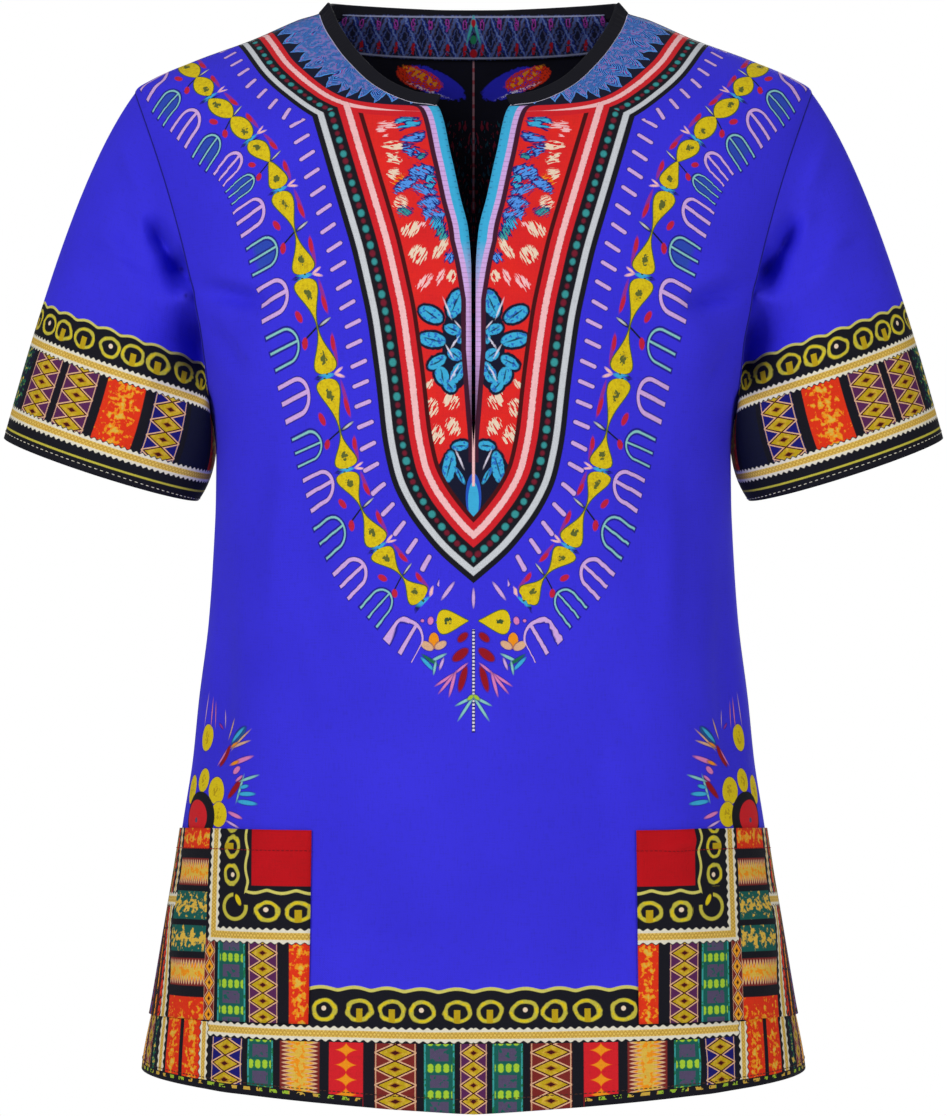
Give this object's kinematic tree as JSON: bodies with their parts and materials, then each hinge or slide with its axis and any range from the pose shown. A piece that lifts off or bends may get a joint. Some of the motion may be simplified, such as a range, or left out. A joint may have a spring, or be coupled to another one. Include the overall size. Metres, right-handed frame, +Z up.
{
  "type": "dashiki shirt",
  "caption": "Short-sleeved pull-on cotton shirt with a bound slit neck, two patch pockets and printed traditional borders, in its worn shape.",
  "frame": {"origin": "middle of the neck, level with the inner ends of the shoulder seams, where the wearer's shoulders hold it", "axes": "+Z up, -Y out of the front, +X towards the side on the viewer's right"},
  "size_m": [0.657, 0.2805, 0.7603],
  "materials": {
    "body_cotton": "plain woven, printed, slight sheen",
    "pocket_cotton": "plain woven, printed",
    "binding_cotton": "plain woven",
    "facing_cotton": "plain woven, printed"
  },
  "bodies": {
    "root": {"front": "body_cotton", "back": "body_cotton", "sleeve_left": "body_cotton", "sleeve_right": "body_cotton", "pocket_left": "pocket_cotton", "pocket_right": "pocket_cotton", "neck_binding": "binding_cotton", "back_neck_facing": "facing_cotton"}
  },
  "joints": []
}
